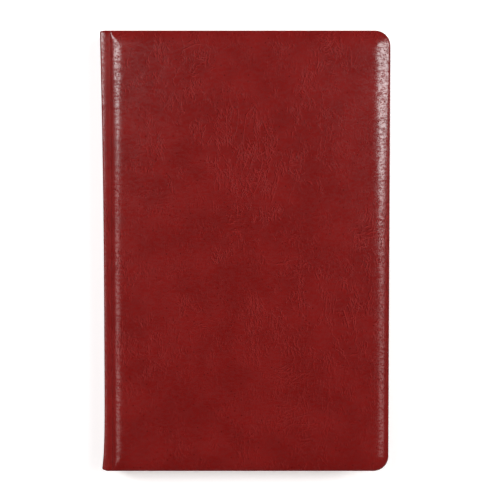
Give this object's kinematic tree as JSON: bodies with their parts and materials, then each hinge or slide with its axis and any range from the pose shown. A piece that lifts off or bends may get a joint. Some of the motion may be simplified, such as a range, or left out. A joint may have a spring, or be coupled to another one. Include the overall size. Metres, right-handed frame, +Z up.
{
  "type": "travel journal",
  "caption": "Hard-cover travel journal in padded faux leather, with sewn signatures, flyleaves and centre leaves that turn, and covers that open.",
  "frame": {"origin": "middle of the closed journal's footprint, at the table it lies on", "axes": "+X from the spine to the fore-edge, +Y to the head, +Z up through the front cover"},
  "size_m": [0.142, 0.217, 0.0244],
  "materials": {
    "leather": "dark red, crinkled, satin gloss",
    "foam": "matt foam sheet",
    "grey_board": "matt grey board",
    "endpaper": "smooth cream paper",
    "paper": "matt ivory paper",
    "spine_card": "matt card",
    "gauze": "open cotton weave",
    "band_cloth": "woven band with a corded edge",
    "thread": "waxed cotton thread"
  },
  "bodies": {
    "back_cover": {"back_leather": "leather", "back_padding": "foam", "back_board": "grey_board", "back_pastedown": "endpaper", "back_joint_leather": "leather"},
    "rear_leaves": {"signature_5": "paper", "signature_6": "paper", "signature_7": "paper", "signature_8": "paper"},
    "back_flyleaf": {"back_flyleaf": "endpaper"},
    "spine": {"spine_leather": "leather", "spine_strip": "spine_card", "spine_lining": "spine_card", "mull": "gauze", "head_band": "band_cloth", "tail_band": "band_cloth", "sewing_thread_1": "thread", "sewing_thread_2": "thread", "sewing_thread_3": "thread", "sewing_thread_4": "thread", "sewing_thread_5": "thread"},
    "centre_leaf_1": {"centre_leaf_1": "paper"},
    "centre_leaf_2": {"centre_leaf_2": "paper"},
    "centre_leaf_3": {"centre_leaf_3": "paper"},
    "centre_leaf_4": {"centre_leaf_4": "paper"},
    "front_leaves": {"signature_1": "paper", "signature_2": "paper", "signature_3": "paper", "signature_4": "paper"},
    "front_flyleaf": {"front_flyleaf": "endpaper"},
    "front_cover": {"front_leather": "leather", "front_padding": "foam", "front_board": "grey_board", "front_pastedown": "endpaper", "front_joint_leather": "leather"}
  },
  "joints": [
    {"name": "back_cover_open", "type": "hinge", "parent": "back_cover", "child": "rear_leaves", "pos_m": [-0.0682, 0, 0.0028], "axis": [0, 1, 0], "range_deg": [-90, 0], "deforming": ["back_joint_leather"]},
    {"name": "back_flyleaf_turn", "type": "hinge", "parent": "rear_leaves", "child": "back_flyleaf", "pos_m": [-0.0646, 0, 0.0042], "axis": [0, -1, 0], "range_deg": [-54, 0]},
    {"name": "middle_open", "type": "hinge", "parent": "rear_leaves", "child": "spine", "pos_m": [-0.0682, 0, 0.0028], "axis": [0, -1, 0], "range_deg": [0, 90]},
    {"name": "front_leaves_turn", "type": "hinge", "parent": "spine", "child": "front_leaves", "pos_m": [-0.0682, 0, 0.0216], "axis": [0, -1, 0], "range_deg": [0, 90]},
    {"name": "centre_leaf_1_turn", "type": "hinge", "parent": "spine", "child": "centre_leaf_1", "pos_m": [-0.0672, 0, 0.01265], "axis": [0, -1, 0], "range_deg": [0, 36]},
    {"name": "centre_leaf_2_turn", "type": "hinge", "parent": "spine", "child": "centre_leaf_2", "pos_m": [-0.0672, 0, 0.01235], "axis": [0, -1, 0], "range_deg": [0, 11.7]},
    {"name": "centre_leaf_3_turn", "type": "hinge", "parent": "spine", "child": "centre_leaf_3", "pos_m": [-0.0672, 0, 0.01205], "axis": [0, 1, 0], "range_deg": [0, 11.7]},
    {"name": "centre_leaf_4_turn", "type": "hinge", "parent": "spine", "child": "centre_leaf_4", "pos_m": [-0.0672, 0, 0.01175], "axis": [0, 1, 0], "range_deg": [0, 36]},
    {"name": "front_flyleaf_turn", "type": "hinge", "parent": "front_leaves", "child": "front_flyleaf", "pos_m": [-0.0646, 0, 0.0202], "axis": [0, 1, 0], "range_deg": [-54, 0]},
    {"name": "front_cover_open", "type": "hinge", "parent": "front_leaves", "child": "front_cover", "pos_m": [-0.0682, 0, 0.0216], "axis": [0, 1, 0], "range_deg": [-90, 0], "deforming": ["front_joint_leather"]}
  ],
  "couplings": [
    {"joint": "front_leaves_turn", "follows": "middle_open", "ratio": 1},
    {"joint": "centre_leaf_1_turn", "follows": "middle_open", "ratio": 0.4},
    {"joint": "centre_leaf_2_turn", "follows": "middle_open", "ratio": 0.13},
    {"joint": "centre_leaf_3_turn", "follows": "middle_open", "ratio": 0.13},
    {"joint": "centre_leaf_4_turn", "follows": "middle_open", "ratio": 0.4},
    {"joint": "front_flyleaf_turn", "follows": "front_cover_open", "ratio": 0.6},
    {"joint": "back_flyleaf_turn", "follows": "back_cover_open", "ratio": 0.6}
  ]
}
